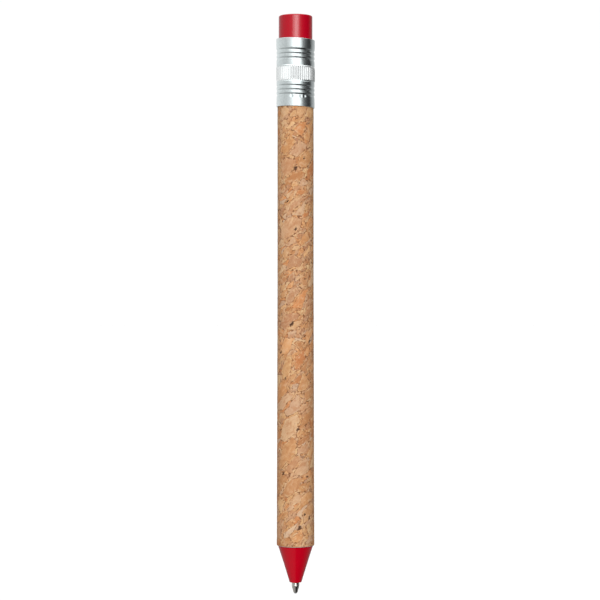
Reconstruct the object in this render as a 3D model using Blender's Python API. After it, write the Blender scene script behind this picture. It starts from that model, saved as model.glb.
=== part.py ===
"""A retractable ballpoint pen dressed as a pencil: cork-covered barrel, crimped metal ferrule,
a push button shaped like an eraser, and a red nose cone.

The pen stands on its point along +Z. The origin is the lowest point of the writing ball with the
point out, and the pen is modelled in that position, latched ready to write.
"""

import math

import bmesh
import bpy
from mathutils import Vector

MM = 0.001

# Driving dimensions
LENGTH = 159.6 * MM
BARREL_RADIUS = 4.98 * MM
RETRACT_TRAVEL = 5.2 * MM
PRESS_TRAVEL = 0.9 * MM
FIT_GAP = 0.1 * MM
SLIDE_GAP = 0.15 * MM
TURN_STEPS = 36
WELD = 0.001 * MM

# Writing end
BALL_RADIUS = 0.5 * MM
BALL_CLEARANCE = 0.04 * MM
POINT_LIP_Z = 0.32 * MM
POINT_LIP_RADIUS = 0.6 * MM
POINT_CONE_TOP_Z = 2.05 * MM
POINT_RADIUS = 1.06 * MM
POINT_STEP_Z = 5.0 * MM
POINT_STEP_CHAMFER = 0.13 * MM
SOCKET_FLOOR_Z = 1.15 * MM
POINT_BODY_RADIUS = 1.15 * MM
INK_CHANNEL_RADIUS = 0.3 * MM

# Nose cone and its thread
NOSE_LIP_Z = 3.2 * MM
NOSE_LIP_RADIUS = 1.69 * MM
NOSE_LIP_CHAMFER = 0.15 * MM
NOSE_BORE_RADIUS = POINT_RADIUS + SLIDE_GAP
NOSE_BORE_TOP_Z = 3.55 * MM
NOSE_THROAT_Z = 3.7 * MM
NOSE_THROAT_RADIUS = 1.35 * MM
NOSE_SHOULDER_RADIUS = 4.8 * MM
NOSE_WAIST = 0.03 * MM
NOSE_ROWS = 6
SPRING_SEAT_Z = 6.6 * MM
SPRING_CHAMBER_RADIUS = 2.3 * MM
SPIGOT_TOP_Z = 21.0 * MM
SPIGOT_CHAMFER = 0.2 * MM
THREAD_ROOT_RADIUS = 2.75 * MM
THREAD_DEPTH = 0.3 * MM
THREAD_PITCH = 1.4 * MM
THREAD_START_Z = 15.0 * MM
THREAD_TURNS = 3
THREAD_ROWS_PER_TURN = 4

# Barrel
BARREL_START_Z = 13.4 * MM
BARREL_TOP_Z = 143.0 * MM
FLARE_HEIGHT = 75.0 * MM
FLARE = 0.17 * MM
CORK_EDGE = 0.12 * MM
TUBE_INNER_RADIUS = 3.8 * MM
TUBE_OUTER_RADIUS = 4.3 * MM
CORK_NECK_RADIUS = 4.7 * MM
BUSH_RADIUS = TUBE_INNER_RADIUS - FIT_GAP
FRONT_BUSH_TOP_Z = 24.0 * MM
FRONT_BUSH_CHAMFER = 0.3 * MM

# Ferrule
FERRULE_START_Z = 134.2 * MM
FERRULE_TOP_Z = 152.9 * MM
FERRULE_RADIUS = 5.25 * MM
FERRULE_BAND_RADIUS = 5.37 * MM
FERRULE_MOUTH_RADIUS = 5.37 * MM
FERRULE_INNER_RADIUS = 4.9 * MM
FERRULE_MOUTH_BORE = 5.0 * MM
FERRULE_BORE_STEP = 0.3 * MM
FERRULE_EDGE = 0.12 * MM
GROOVE_DEPTH = 0.09 * MM
GROOVE_HALF_WIDTH = 0.3 * MM
UPPER_GROOVE_Z = 147.35 * MM
LOWER_GROOVE_Z = 137.45 * MM
GROOVE_PITCH = 1.17 * MM
GROOVES = 3
BAND_START_Z = 141.2 * MM
BAND_TOP_Z = 145.2 * MM
BAND_CROWN = 0.02 * MM

# Refill
REFILL_TUBE_START_Z = 12.3 * MM
REFILL_TUBE_TOP_Z = 107.0 * MM
REFILL_TUBE_RADIUS = 1.5 * MM
REFILL_BORE_RADIUS = 1.0 * MM
POINT_SHANK_TOP_Z = 17.0 * MM
EAR_Z = 24.0 * MM
EAR_HEIGHT = 1.4 * MM
EAR_RADIUS = 2.1 * MM
EAR_HALF_ANGLE = 17.0
INK_TOP_Z = 94.0 * MM
MENISCUS = 0.25 * MM

# Return spring
SPRING_WIRE_RADIUS = 0.175 * MM
SPRING_COIL_RADIUS = 1.85 * MM
SPRING_TURNS = 10
SPRING_CLOSED_TURNS = 1
SPRING_CLOSED_GAP = 0.05 * MM
SPRING_STEPS_PER_TURN = 12

# Push mechanism
LUGS = 4
RIB_HALF_ANGLE = 12.0
LUG_HALF_ANGLE = 29.0
SPLINE_HALF_ANGLE = 7.0
ROTOR_CATCH_ANGLE = 5.0
ROTOR_REST_ANGLE = RIB_HALF_ANGLE + SPLINE_HALF_ANGLE - ROTOR_CATCH_ANGLE - 180 / LUGS
INDEX_ANGLE = 45.0
CAM_RISE_PER_DEGREE = RETRACT_TRAVEL / INDEX_ANGLE
CAM_BODY_RADIUS = 2.0 * MM
LUG_RADIUS = 2.6 * MM
SLOT_RADIUS = LUG_RADIUS + SLIDE_GAP
RIB_RADIUS = CAM_BODY_RADIUS + SLIDE_GAP
CENTRE_PIN_RADIUS = REFILL_BORE_RADIUS - FIT_GAP
CROWN_TEETH = 8
CROWN_DEPTH = 0.7 * MM
ROTOR_BASE_Z = REFILL_TUBE_TOP_Z + SLIDE_GAP
ROTOR_SPIGOT_Z = 104.0 * MM
SPLINE_START_Z = 108.4 * MM
SPLINE_TOP_Z = 111.4 * MM
ROTOR_CROWN_Z = 112.6 * MM
ROTOR_PIN_TOP_Z = 118.0 * MM
PLUNGER_CROWN_Z = ROTOR_CROWN_Z + SLIDE_GAP
PLUNGER_BORE_TOP_Z = 119.0 * MM
LUG_START_Z = 114.6 * MM
LUG_TOP_Z = 118.6 * MM
STEM_RADIUS = 1.85 * MM
STEM_TOP_Z = 156.9 * MM
GUIDE_START_Z = 106.5 * MM
GUIDE_ROOF_HEIGHT = 1.25 * MM
GUIDE_ROOF_Z = LUG_TOP_Z + RETRACT_TRAVEL + SLIDE_GAP
GUIDE_TOP_Z = GUIDE_ROOF_Z + GUIDE_ROOF_HEIGHT
GUIDE_RADIUS = 3.1 * MM
REAR_BUSH_BORE_RADIUS = GUIDE_RADIUS + FIT_GAP
REAR_BUSH_START_Z = 105.4 * MM
REAR_BUSH_LIP_RADIUS = 2.9 * MM
REAR_BUSH_LEDGE_HEIGHT = 1.0 * MM
REAR_BUSH_FLANGE_HEIGHT = 1.1 * MM

# Push button
BUTTON_RADIUS = 4.65 * MM
BUTTON_EDGE = 0.35 * MM
BUTTON_SKIRT_Z = 145.4 * MM
BUTTON_WALL = 0.9 * MM
BUTTON_ROOF_Z = 157.9 * MM
BUTTON_BOSS_RADIUS = 2.7 * MM
BUTTON_BOSS_Z = 149.0 * MM

# Colour (linear RGB), roughness and metallic value of each material
MATERIALS = {
    "red_plastic": ((0.52, 0.004, 0.018), 0.28, 0.0),
    "cork": ((0.56, 0.30, 0.15), 0.85, 0.0),
    "kraft_paper": ((0.42, 0.27, 0.15), 0.9, 0.0),
    "white_plastic": ((0.82, 0.82, 0.80), 0.4, 0.0),
    "clear_plastic": ((0.75, 0.78, 0.78), 0.25, 0.0),
    "blue_ink": ((0.01, 0.03, 0.32), 0.2, 0.0),
    "ferrule_aluminium": ((0.78, 0.80, 0.81), 0.22, 1.0),
    "nickel_silver": ((0.66, 0.64, 0.60), 0.2, 1.0),
    "ball_carbide": ((0.42, 0.43, 0.45), 0.12, 1.0),
    "spring_steel": ((0.5, 0.5, 0.52), 0.3, 1.0),
}


def clear_scene():
    for obj in list(bpy.data.objects):
        bpy.data.objects.remove(obj, do_unlink=True)


def material(name):
    """The named material, made on first use."""
    found = bpy.data.materials.get(name)
    if found:
        return found
    color, roughness, metallic = MATERIALS[name]
    made = bpy.data.materials.new(name)
    made.use_nodes = True
    shader = made.node_tree.nodes["Principled BSDF"]
    shader.inputs["Base Color"].default_value = (*color, 1.0)
    shader.inputs["Roughness"].default_value = roughness
    shader.inputs["Metallic"].default_value = metallic
    return made


def add_object(name, bm, material_name):
    """Turns a bmesh into an object of the scene, with its normals facing out."""
    bmesh.ops.remove_doubles(bm, verts=bm.verts, dist=WELD)
    bmesh.ops.recalc_face_normals(bm, faces=bm.faces)
    mesh = bpy.data.meshes.new(name)
    bm.to_mesh(mesh)
    bm.free()
    mesh.shade_smooth()
    mesh.set_sharp_from_angle(angle=math.radians(30))
    mesh.materials.append(material(material_name))
    obj = bpy.data.objects.new(name, mesh)
    bpy.context.scene.collection.objects.link(obj)
    return obj


def turned(name, profile, material_name, steps=TURN_STEPS):
    """A turned piece: profile is its closed outline as (radius, z), spun once round the axis.

    An outline that touches the axis starts and ends on it, and its last side is left open.
    """
    bm = bmesh.new()
    points = [bm.verts.new((radius, 0.0, z)) for radius, z in profile]
    on_axis = profile[0][0] == 0.0 and profile[-1][0] == 0.0
    pairs = list(zip(points, points[1:]))
    if not on_axis:
        pairs.append((points[-1], points[0]))
    edges = [bm.edges.new(pair) for pair in pairs]
    bmesh.ops.spin(
        bm,
        geom=points + edges,
        cent=(0, 0, 0),
        axis=(0, 0, 1),
        angle=math.tau,
        steps=steps,
        use_merge=True,
    )
    return add_object(name, bm, material_name)


def ring(angles, radius, height):
    """One loop of points round the axis. radius and height are numbers, or functions of degrees."""
    points = []
    for degrees in angles:
        r = radius(degrees) if callable(radius) else radius
        z = height(degrees) if callable(height) else height
        turn = math.radians(degrees)
        points.append(Vector((r * math.cos(turn), r * math.sin(turn), z)))
    return points


def lofted(name, rings, material_name, capped=False):
    """A piece skinned over loops of points: a closed sleeve, or one capped at both ends."""
    bm = bmesh.new()
    loops = [[bm.verts.new(point) for point in loop] for loop in rings]
    count = len(loops[0])
    pairs = list(zip(loops, loops[1:]))
    if not capped:
        pairs.append((loops[-1], loops[0]))
    for lower, upper in pairs:
        for i in range(count):
            j = (i + 1) % count
            bm.faces.new((lower[i], lower[j], upper[j], upper[i]))
    if capped:
        bm.faces.new(loops[0])
        bm.faces.new(loops[-1])
    return add_object(name, bm, material_name)


def spaced_angles(steps=TURN_STEPS, flanks=()):
    """Angles round a turn, in degrees, with a close pair at each flank so that its wall is steep."""
    half_wall = 0.3
    angles = {round(i * 360 / steps, 6) for i in range(steps)}
    for flank in flanks:
        low = (flank - half_wall) % 360
        high = (flank + half_wall) % 360
        angles = {a for a in angles if abs((a - flank + 180) % 360 - 180) > 2 * half_wall}
        angles |= {round(low, 6), round(high, 6)}
    return sorted(angles)


def off_centre(degrees, first, count):
    """How far, in signed degrees, an angle is from the nearest of count even places from first."""
    pitch = 360 / count
    return (degrees - first + pitch / 2) % pitch - pitch / 2


def flank_angles(first, count, half_angle):
    return [first + i * 360 / count + side * half_angle for i in range(count) for side in (-1, 1)]


def arc(centre_radius, centre_z, radius, start, end, steps=4):
    """Points of an arc in the (radius, z) plane, angles in degrees from the outward direction."""
    points = []
    for i in range(steps + 1):
        turn = math.radians(start + (end - start) * i / steps)
        points.append((centre_radius + radius * math.cos(turn), centre_z + radius * math.sin(turn)))
    return points


def writing_ball():
    bm = bmesh.new()
    bmesh.ops.create_uvsphere(bm, u_segments=24, v_segments=12, radius=BALL_RADIUS)
    obj = add_object("writing_ball", bm, "ball_carbide")
    obj.location = (0, 0, BALL_RADIUS)


def refill_point():
    """Turned metal point: it holds the ball in a socket, and its shank plugs the refill tube."""
    socket_radius = BALL_RADIUS + BALL_CLEARANCE
    lip_radius = math.sqrt(socket_radius**2 - (BALL_RADIUS - POINT_LIP_Z) ** 2)
    socket = arc(0, BALL_RADIUS, socket_radius, 0, 50)
    shank_radius = REFILL_BORE_RADIUS - FIT_GAP
    shoulder_z = REFILL_TUBE_START_Z - FIT_GAP
    profile = [
        (lip_radius, POINT_LIP_Z),
        *socket,
        (INK_CHANNEL_RADIUS, SOCKET_FLOOR_Z),
        (INK_CHANNEL_RADIUS, POINT_SHANK_TOP_Z),
        (shank_radius, POINT_SHANK_TOP_Z),
        (shank_radius, shoulder_z),
        (POINT_BODY_RADIUS, shoulder_z),
        (POINT_BODY_RADIUS, POINT_STEP_Z + POINT_STEP_CHAMFER),
        (POINT_RADIUS, POINT_STEP_Z),
        (POINT_RADIUS, POINT_CONE_TOP_Z),
        (POINT_LIP_RADIUS, POINT_LIP_Z),
    ]
    turned("refill_point", profile, "nickel_silver", steps=24)


def refill_tube():
    """Plastic ink tube with two pinched ears, which the return spring pushes against."""
    angles = spaced_angles(24, flank_angles(0, 2, EAR_HALF_ANGLE))

    def ear(degrees):
        near = abs(off_centre(degrees, 0, 2)) < EAR_HALF_ANGLE
        return EAR_RADIUS if near else REFILL_TUBE_RADIUS

    rings = [
        ring(angles, REFILL_BORE_RADIUS, REFILL_TUBE_START_Z),
        ring(angles, REFILL_TUBE_RADIUS, REFILL_TUBE_START_Z),
        ring(angles, REFILL_TUBE_RADIUS, EAR_Z),
        ring(angles, ear, EAR_Z),
        ring(angles, ear, EAR_Z + EAR_HEIGHT),
        ring(angles, REFILL_TUBE_RADIUS, EAR_Z + EAR_HEIGHT),
        ring(angles, REFILL_TUBE_RADIUS, REFILL_TUBE_TOP_Z),
        ring(angles, REFILL_BORE_RADIUS, REFILL_TUBE_TOP_Z),
    ]
    lofted("refill_tube", rings, "clear_plastic")


def ink_column():
    radius = REFILL_BORE_RADIUS - FIT_GAP
    profile = [
        (0.0, POINT_SHANK_TOP_Z + FIT_GAP),
        (radius, POINT_SHANK_TOP_Z + FIT_GAP),
        (radius, INK_TOP_Z),
        (radius / 2, INK_TOP_Z - MENISCUS * 0.75),
        (0.0, INK_TOP_Z - MENISCUS),
    ]
    turned("ink_column", profile, "blue_ink", steps=24)


def return_spring():
    """Compression spring, held at its length with the point out, its end turns closed."""
    start = SPRING_SEAT_Z + FIT_GAP + SPRING_WIRE_RADIUS
    end = EAR_Z - FIT_GAP - SPRING_WIRE_RADIUS
    closed_pitch = 2 * SPRING_WIRE_RADIUS + SPRING_CLOSED_GAP
    active_turns = SPRING_TURNS - 2 * SPRING_CLOSED_TURNS
    closed_height = closed_pitch * SPRING_CLOSED_TURNS
    open_pitch = (end - start - 2 * closed_height) / active_turns
    count = SPRING_TURNS * SPRING_STEPS_PER_TURN
    curve = bpy.data.curves.new("return_spring", "CURVE")
    curve.dimensions = "3D"
    curve.bevel_depth = SPRING_WIRE_RADIUS
    curve.bevel_resolution = 1
    curve.use_fill_caps = True
    spline = curve.splines.new("POLY")
    spline.points.add(count)
    for i in range(count + 1):
        turns = i / SPRING_STEPS_PER_TURN
        from_end = min(turns, SPRING_TURNS - turns, SPRING_CLOSED_TURNS)
        middle = min(max(turns - SPRING_CLOSED_TURNS, 0), active_turns)
        past_middle = from_end if turns < SPRING_TURNS / 2 else 2 * SPRING_CLOSED_TURNS - from_end
        z = start + closed_pitch * past_middle + open_pitch * middle
        turn = turns * math.tau
        x = SPRING_COIL_RADIUS * math.cos(turn)
        y = SPRING_COIL_RADIUS * math.sin(turn)
        spline.points[i].co = (x, y, z, 1)
    curve.materials.append(material("spring_steel"))
    obj = bpy.data.objects.new("return_spring", curve)
    bpy.context.scene.collection.objects.link(obj)


def thread_crest(degrees, z):
    """Height of a rounded thread, 0 at its root and 1 at its crest, running out at both ends."""
    along = (z - THREAD_START_Z) / THREAD_PITCH
    wave = 0.5 - 0.5 * math.cos(math.tau * (along - degrees / 360))
    runout = min(1.0, max(0.0, 2 * along), max(0.0, 2 * (THREAD_TURNS - along)))
    return wave * runout


def thread_rings(angles, root_radius):
    """Loops over the thread's length, for a spigot, or for the bush round it with a wider root."""
    rows = round(THREAD_TURNS * THREAD_ROWS_PER_TURN)
    rings = []
    for i in range(rows + 1):
        z = THREAD_START_Z + i * THREAD_PITCH / THREAD_ROWS_PER_TURN
        rings.append(
            ring(angles, lambda d, z=z: root_radius + THREAD_DEPTH * thread_crest(d, z), z)
        )
    return rings


def nose_radius(z):
    """The cone is a little slimmer than straight."""
    up = z - NOSE_LIP_Z - NOSE_LIP_CHAMFER
    whole = BARREL_START_Z - FIT_GAP - NOSE_LIP_Z - NOSE_LIP_CHAMFER
    straight = (NOSE_SHOULDER_RADIUS - NOSE_LIP_RADIUS) * up / whole
    waist = NOSE_WAIST * 4 * (up / whole) * (1 - up / whole)
    return NOSE_LIP_RADIUS + straight - waist


def nose_cone():
    """Nose with the bore for the point, the spring's seat, and a threaded spigot."""
    angles = spaced_angles(TURN_STEPS)
    shoulder_z = BARREL_START_Z - FIT_GAP
    cone_start = NOSE_LIP_Z + NOSE_LIP_CHAMFER
    cone = [cone_start + (shoulder_z - cone_start) * i / NOSE_ROWS for i in range(NOSE_ROWS + 1)]
    outline = [
        (SPRING_CHAMBER_RADIUS, SPIGOT_TOP_Z),
        (SPRING_CHAMBER_RADIUS, SPRING_SEAT_Z),
        (NOSE_THROAT_RADIUS, SPRING_SEAT_Z),
        (NOSE_THROAT_RADIUS, NOSE_THROAT_Z),
        (NOSE_BORE_RADIUS, NOSE_BORE_TOP_Z),
        (NOSE_BORE_RADIUS, NOSE_LIP_Z),
        (NOSE_LIP_RADIUS - NOSE_LIP_CHAMFER, NOSE_LIP_Z),
        *[(nose_radius(z), z) for z in cone],
        (THREAD_ROOT_RADIUS, shoulder_z),
    ]
    rings = [ring(angles, radius, z) for radius, z in outline]
    rings += thread_rings(angles, THREAD_ROOT_RADIUS)
    rings += [
        ring(angles, THREAD_ROOT_RADIUS, SPIGOT_TOP_Z - SPIGOT_CHAMFER),
        ring(angles, THREAD_ROOT_RADIUS - SPIGOT_CHAMFER, SPIGOT_TOP_Z),
    ]
    lofted("nose_cone", rings, "red_plastic")


def front_bush():
    """Threaded bush glued in the barrel, which the nose cone screws into."""
    angles = spaced_angles(TURN_STEPS)
    start = BARREL_START_Z + FIT_GAP
    root = THREAD_ROOT_RADIUS + SLIDE_GAP
    rings = [
        ring(angles, BUSH_RADIUS, FRONT_BUSH_TOP_Z),
        ring(angles, BUSH_RADIUS, start + FRONT_BUSH_CHAMFER),
        ring(angles, BUSH_RADIUS - FRONT_BUSH_CHAMFER, start),
        ring(angles, root, start),
        *thread_rings(angles, root),
        ring(angles, root, FRONT_BUSH_TOP_Z),
    ]
    lofted("front_bush", rings, "white_plastic")


def cork_radius(z):
    """The cork thickens a little towards its lower end."""
    up = min(1.0, (z - BARREL_START_Z) / FLARE_HEIGHT)
    return BARREL_RADIUS + FLARE * (1 - up)


def barrel_tube():
    """Rolled kraft-paper tube that carries everything."""
    profile = [
        (TUBE_INNER_RADIUS, BARREL_START_Z),
        (TUBE_OUTER_RADIUS, BARREL_START_Z),
        (TUBE_OUTER_RADIUS, BARREL_TOP_Z),
        (TUBE_INNER_RADIUS, BARREL_TOP_Z),
    ]
    turned("barrel_tube", profile, "kraft_paper")


def cork_sleeve():
    """Cork wrap glued round the tube, thinned at the top where the ferrule grips it."""
    bore = TUBE_OUTER_RADIUS + FIT_GAP
    neck_z = FERRULE_START_Z - FIT_GAP
    flare_top_z = BARREL_START_Z + FLARE_HEIGHT
    profile = [
        (cork_radius(BARREL_START_Z) - CORK_EDGE, BARREL_START_Z),
        (cork_radius(BARREL_START_Z + CORK_EDGE), BARREL_START_Z + CORK_EDGE),
        (BARREL_RADIUS, flare_top_z),
        (BARREL_RADIUS, neck_z),
        (CORK_NECK_RADIUS, neck_z),
        (CORK_NECK_RADIUS, BARREL_TOP_Z),
        (bore, BARREL_TOP_Z),
        (bore, BARREL_START_Z),
    ]
    turned("cork_sleeve", profile, "cork")


def groove(z):
    """One rolled groove of the ferrule, as outline points."""
    return [
        (FERRULE_RADIUS, z - GROOVE_HALF_WIDTH),
        (FERRULE_RADIUS - GROOVE_DEPTH, z),
        (FERRULE_RADIUS, z + GROOVE_HALF_WIDTH),
    ]


def ferrule():
    """Thin aluminium ferrule with two sets of rolled grooves and a swollen crimp band between them."""
    wall = FERRULE_RADIUS - FERRULE_INNER_RADIUS
    lower = [p for i in range(GROOVES) for p in groove(LOWER_GROOVE_Z + i * GROOVE_PITCH)]
    upper = [p for i in range(GROOVES) for p in groove(UPPER_GROOVE_Z + i * GROOVE_PITCH)]
    mouth_z = BUTTON_SKIRT_Z - PRESS_TRAVEL - SLIDE_GAP
    profile = [
        (FERRULE_INNER_RADIUS, FERRULE_START_Z),
        (FERRULE_RADIUS - FERRULE_EDGE, FERRULE_START_Z),
        (FERRULE_RADIUS, FERRULE_START_Z + FERRULE_EDGE),
        *lower,
        (FERRULE_BAND_RADIUS - BAND_CROWN, BAND_START_Z),
        (FERRULE_BAND_RADIUS, (BAND_START_Z + BAND_TOP_Z) / 2),
        (FERRULE_BAND_RADIUS - BAND_CROWN, BAND_TOP_Z),
        *upper,
        (FERRULE_MOUTH_RADIUS, UPPER_GROOVE_Z + GROOVES * GROOVE_PITCH),
        (FERRULE_MOUTH_RADIUS, FERRULE_TOP_Z - wall),
        (FERRULE_MOUTH_RADIUS - wall / 3, FERRULE_TOP_Z),
        (FERRULE_MOUTH_BORE, FERRULE_TOP_Z),
        (FERRULE_MOUTH_BORE, mouth_z),
        (FERRULE_INNER_RADIUS, mouth_z - FERRULE_BORE_STEP),
    ]
    turned("ferrule", profile, "ferrule_aluminium")


def rear_bush():
    """Sleeve in the barrel's upper end: its bore holds the cam guide, and its flange caps the barrel."""
    ledge_z = GUIDE_TOP_Z + FIT_GAP
    ledge_radius = STEM_RADIUS + 2 * SLIDE_GAP
    flange_z = BARREL_TOP_Z + FIT_GAP
    flange_top = flange_z + REAR_BUSH_FLANGE_HEIGHT
    lip_z = GUIDE_START_Z - FIT_GAP
    profile = [
        (REAR_BUSH_LIP_RADIUS, REAR_BUSH_START_Z),
        (BUSH_RADIUS, REAR_BUSH_START_Z),
        (BUSH_RADIUS, flange_z),
        (CORK_NECK_RADIUS, flange_z),
        (CORK_NECK_RADIUS, flange_top),
        (REAR_BUSH_BORE_RADIUS, flange_top),
        (REAR_BUSH_BORE_RADIUS, ledge_z + REAR_BUSH_LEDGE_HEIGHT),
        (ledge_radius, ledge_z + REAR_BUSH_LEDGE_HEIGHT),
        (ledge_radius, ledge_z),
        (REAR_BUSH_BORE_RADIUS, ledge_z),
        (REAR_BUSH_BORE_RADIUS, lip_z),
        (REAR_BUSH_LIP_RADIUS, lip_z),
    ]
    turned("rear_bush", profile, "white_plastic")


def cam_guide():
    """Fixed guide of the push mechanism: four ribs with sloping ends, and slots between them."""
    rib_first = 180 / LUGS
    angles = spaced_angles(TURN_STEPS, flank_angles(rib_first, LUGS, RIB_HALF_ANGLE))

    def bore(degrees):
        on_rib = abs(off_centre(degrees, rib_first, LUGS)) < RIB_HALF_ANGLE
        return RIB_RADIUS if on_rib else SLOT_RADIUS

    def rib_end(degrees):
        before_flank = RIB_HALF_ANGLE - off_centre(degrees, rib_first, LUGS)
        spline_overhang = 2 * SPLINE_HALF_ANGLE - ROTOR_CATCH_ANGLE
        slope_end = SPLINE_TOP_Z + SLIDE_GAP - CAM_RISE_PER_DEGREE * spline_overhang
        on_rib = 0 < before_flank < 2 * RIB_HALF_ANGLE
        return slope_end - (CAM_RISE_PER_DEGREE * before_flank if on_rib else 0)

    hole = STEM_RADIUS + SLIDE_GAP
    rings = [
        ring(angles, GUIDE_RADIUS, GUIDE_START_Z),
        ring(angles, GUIDE_RADIUS, GUIDE_TOP_Z),
        ring(angles, hole, GUIDE_TOP_Z),
        ring(angles, hole, GUIDE_ROOF_Z),
        ring(angles, bore, GUIDE_ROOF_Z),
        ring(angles, bore, rib_end),
        ring(angles, SLOT_RADIUS, rib_end),
        ring(angles, SLOT_RADIUS, GUIDE_START_Z),
    ]
    lofted("cam_guide", rings, "white_plastic")


def crown(tips_z, up):
    """Height of a crown of teeth at each angle: its tips stand at tips_z, its roots away from them."""
    sign = -1 if up else 1

    def height(degrees):
        across = abs(off_centre(degrees, 0, CROWN_TEETH)) / (180 / CROWN_TEETH)
        return tips_z + sign * CROWN_DEPTH * across

    return height


def cam_rotor():
    """Indexing rotor: a spigot into the refill, splines that ride the guide, and a crown of teeth."""
    angles = spaced_angles(
        TURN_STEPS, flank_angles(ROTOR_REST_ANGLE, LUGS, SPLINE_HALF_ANGLE)
    )

    def spline(degrees):
        on_spline = abs(off_centre(degrees, ROTOR_REST_ANGLE, LUGS)) < SPLINE_HALF_ANGLE
        return LUG_RADIUS if on_spline else CAM_BODY_RADIUS

    def spline_top(degrees):
        across = off_centre(degrees, ROTOR_REST_ANGLE, LUGS)
        on_spline = abs(across) < SPLINE_HALF_ANGLE
        return SPLINE_TOP_Z - (CAM_RISE_PER_DEGREE * (SPLINE_HALF_ANGLE - across) if on_spline else 0)

    teeth = crown(ROTOR_CROWN_Z, up=True)
    chamfer = 0.2 * MM
    rings = [
        ring(angles, CENTRE_PIN_RADIUS - chamfer, ROTOR_SPIGOT_Z),
        ring(angles, CENTRE_PIN_RADIUS, ROTOR_SPIGOT_Z + chamfer),
        ring(angles, CENTRE_PIN_RADIUS, ROTOR_BASE_Z),
        ring(angles, CAM_BODY_RADIUS, ROTOR_BASE_Z),
        ring(angles, CAM_BODY_RADIUS, SPLINE_START_Z),
        ring(angles, spline, SPLINE_START_Z),
        ring(angles, spline, spline_top),
        ring(angles, CAM_BODY_RADIUS, spline_top),
        ring(angles, CAM_BODY_RADIUS, teeth),
        ring(angles, CENTRE_PIN_RADIUS, teeth),
        ring(angles, CENTRE_PIN_RADIUS, ROTOR_PIN_TOP_Z - chamfer),
        ring(angles, CENTRE_PIN_RADIUS - chamfer, ROTOR_PIN_TOP_Z),
    ]
    lofted("cam_rotor", rings, "white_plastic", capped=True)


def cam_plunger():
    """Plunger: crown over the rotor's teeth, lugs in the guide's slots, and a stem up to the button."""
    angles = spaced_angles(TURN_STEPS, flank_angles(0, LUGS, LUG_HALF_ANGLE))

    def lug(degrees):
        on_lug = abs(off_centre(degrees, 0, LUGS)) < LUG_HALF_ANGLE
        return LUG_RADIUS if on_lug else CAM_BODY_RADIUS

    teeth = crown(PLUNGER_CROWN_Z, up=False)
    chamfer = 0.25 * MM
    rings = [
        ring(angles, REFILL_BORE_RADIUS, PLUNGER_BORE_TOP_Z),
        ring(angles, REFILL_BORE_RADIUS, teeth),
        ring(angles, CAM_BODY_RADIUS, teeth),
        ring(angles, CAM_BODY_RADIUS, LUG_START_Z),
        ring(angles, lug, LUG_START_Z),
        ring(angles, lug, LUG_TOP_Z),
        ring(angles, STEM_RADIUS, LUG_TOP_Z),
        ring(angles, STEM_RADIUS, STEM_TOP_Z - chamfer),
        ring(angles, STEM_RADIUS - chamfer, STEM_TOP_Z),
    ]
    lofted("cam_plunger", rings, "white_plastic", capped=True)


def push_button():
    """Eraser-shaped button: a hollow cap whose boss is pressed on the plunger's stem."""
    socket = STEM_RADIUS + FIT_GAP
    skirt_bore = BUTTON_RADIUS - BUTTON_WALL
    edge_z = LENGTH - BUTTON_EDGE
    profile = [
        (0.0, LENGTH),
        *reversed(arc(BUTTON_RADIUS - BUTTON_EDGE, edge_z, BUTTON_EDGE, 0, 90)),
        (BUTTON_RADIUS, BUTTON_SKIRT_Z),
        (skirt_bore, BUTTON_SKIRT_Z),
        (skirt_bore, BUTTON_ROOF_Z),
        (BUTTON_BOSS_RADIUS, BUTTON_ROOF_Z),
        (BUTTON_BOSS_RADIUS, BUTTON_BOSS_Z),
        (socket, BUTTON_BOSS_Z),
        (socket, STEM_TOP_Z + FIT_GAP),
        (0.0, STEM_TOP_Z + FIT_GAP),
    ]
    turned("push_button", profile, "red_plastic")


def build():
    clear_scene()
    writing_ball()
    refill_point()
    refill_tube()
    ink_column()
    return_spring()
    nose_cone()
    front_bush()
    barrel_tube()
    cork_sleeve()
    ferrule()
    rear_bush()
    cam_guide()
    cam_rotor()
    cam_plunger()
    push_button()


build()
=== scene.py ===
"""The cork pencil pen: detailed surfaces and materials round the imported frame, in a plain studio."""

import math

import bmesh
import bpy
import numpy as np
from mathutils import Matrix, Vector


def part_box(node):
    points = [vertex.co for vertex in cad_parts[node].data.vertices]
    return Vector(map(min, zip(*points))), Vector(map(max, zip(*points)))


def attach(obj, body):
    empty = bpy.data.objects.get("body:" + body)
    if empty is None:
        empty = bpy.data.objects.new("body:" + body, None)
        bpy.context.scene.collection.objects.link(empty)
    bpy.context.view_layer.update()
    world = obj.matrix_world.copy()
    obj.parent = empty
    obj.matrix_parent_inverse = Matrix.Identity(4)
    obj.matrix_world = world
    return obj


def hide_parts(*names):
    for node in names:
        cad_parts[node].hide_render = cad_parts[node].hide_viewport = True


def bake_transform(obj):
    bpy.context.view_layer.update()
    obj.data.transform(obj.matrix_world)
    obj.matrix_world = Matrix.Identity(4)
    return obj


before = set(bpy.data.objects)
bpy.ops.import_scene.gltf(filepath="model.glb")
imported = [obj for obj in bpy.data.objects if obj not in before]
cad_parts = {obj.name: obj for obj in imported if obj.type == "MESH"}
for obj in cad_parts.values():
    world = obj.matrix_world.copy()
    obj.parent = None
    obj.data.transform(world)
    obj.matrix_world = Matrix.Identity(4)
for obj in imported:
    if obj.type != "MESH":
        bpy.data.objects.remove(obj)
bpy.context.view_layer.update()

MM = 0.001


def node_box(name):
    """A CAD node's lowest and highest corner, in millimetres."""
    low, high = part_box(name)
    return [v / MM for v in low], [v / MM for v in high]


# ------------------------------------------------------------------ node helpers


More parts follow.
